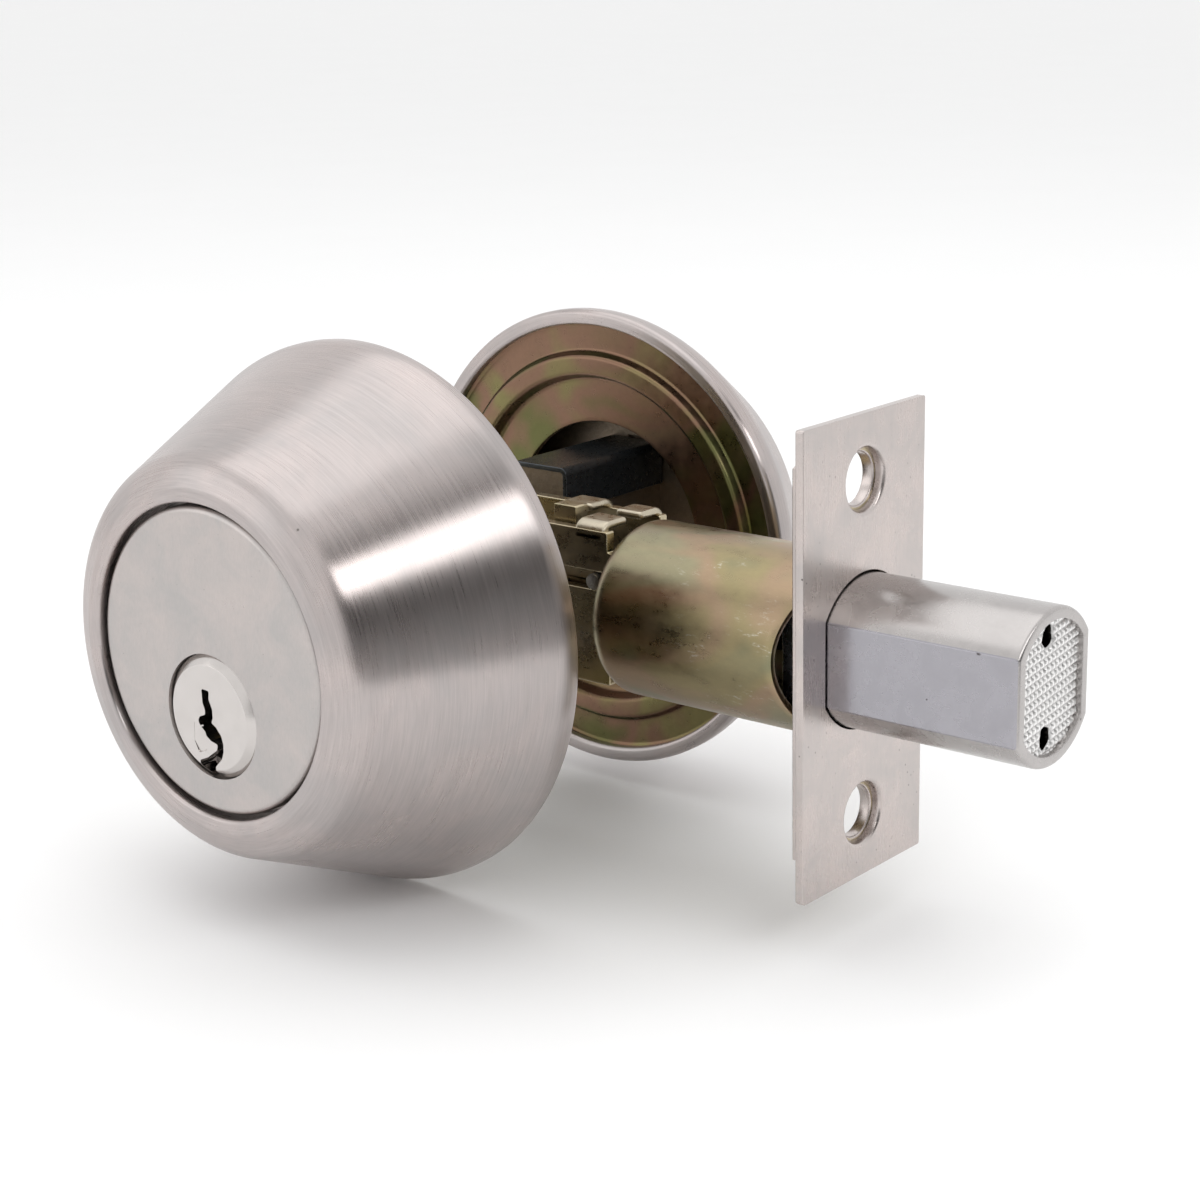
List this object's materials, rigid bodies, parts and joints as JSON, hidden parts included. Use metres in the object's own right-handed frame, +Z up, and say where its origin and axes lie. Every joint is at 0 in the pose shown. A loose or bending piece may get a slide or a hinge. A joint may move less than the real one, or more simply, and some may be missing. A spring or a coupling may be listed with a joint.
{
  "type": "deadbolt door lock",
  "caption": "Tubular deadbolt with tapered keyed collars on both sides, a square-cornered faceplate and a round bolt with two flats.",
  "frame": {"origin": "centre of the faceplate's front face, on the bolt's centre line, flush with the door's edge", "axes": "+X out of the door's edge along the bolt's throw, -Y towards the outside of the door, +Z up"},
  "size_m": [0.1206, 0.0895, 0.0698],
  "materials": {
    "satin_nickel": "circular satin brushing",
    "plug_nickel": "polished nickel plate",
    "yellow_zinc": "yellow zinc chromate with olive and pink tints",
    "bolt_steel": "grey zinc plate",
    "plain_steel": "plain steel",
    "pin_brass": "turned brass",
    "cover_steel": "dark grey blued sheet"
  },
  "bodies": {
    "lock_case": {"outer_collar": "satin_nickel", "inner_collar": "satin_nickel", "outer_backing_plate": "yellow_zinc", "inner_backing_plate": "yellow_zinc", "outer_cylinder_body": "satin_nickel", "inner_cylinder_body": "satin_nickel", "outer_driver_pins": "pin_brass", "inner_driver_pins": "pin_brass", "outer_pin_springs": "plain_steel", "inner_pin_springs": "plain_steel", "outer_pin_cover": "cover_steel", "inner_pin_cover": "cover_steel", "through_screws": "plain_steel", "latch_tube": "yellow_zinc", "faceplate": "satin_nickel", "faceplate_back": "yellow_zinc", "near_frame_plate": "yellow_zinc", "far_frame_plate": "yellow_zinc", "frame_rivets": "yellow_zinc", "detent_spring": "plain_steel"},
    "outer_plug": {"outer_key_plug": "plug_nickel", "outer_key_pins": "pin_brass", "outer_plug_clip": "plain_steel", "tail_bar": "plain_steel"},
    "inner_plug": {"inner_key_plug": "plug_nickel", "inner_key_pins": "pin_brass", "inner_plug_clip": "plain_steel"},
    "hub": {"hub_crank": "plain_steel"},
    "bolt": {"bolt": "bolt_steel", "bolt_bar": "yellow_zinc", "guide_pin": "plain_steel", "bar_rivet": "plain_steel", "hardened_pins": "plain_steel"}
  },
  "joints": [
    {"name": "outer_key_turn", "type": "hinge", "parent": "lock_case", "child": "outer_plug", "pos_m": [-0.0603, 0, -0.0068], "axis": [0, -1, 0], "range_deg": [0, 90]},
    {"name": "hub_turn", "type": "hinge", "parent": "lock_case", "child": "hub", "pos_m": [-0.0603, 0, -0.0068], "axis": [0, -1, 0], "range_deg": [0, 90]},
    {"name": "inner_key_turn", "type": "hinge", "parent": "lock_case", "child": "inner_plug", "pos_m": [-0.0603, 0, -0.0068], "axis": [0, -1, 0], "range_deg": [0, 90]},
    {"name": "bolt_slide", "type": "slide", "parent": "lock_case", "child": "bolt", "axis": [1, 0, 0], "range_m": [-0.0254, 0]}
  ],
  "couplings": [
    {"joint": "outer_key_turn", "follows": "bolt_slide", "rad_per_m": -61.84},
    {"joint": "hub_turn", "follows": "bolt_slide", "rad_per_m": -61.84},
    {"joint": "inner_key_turn", "follows": "bolt_slide", "rad_per_m": -61.84}
  ]
}
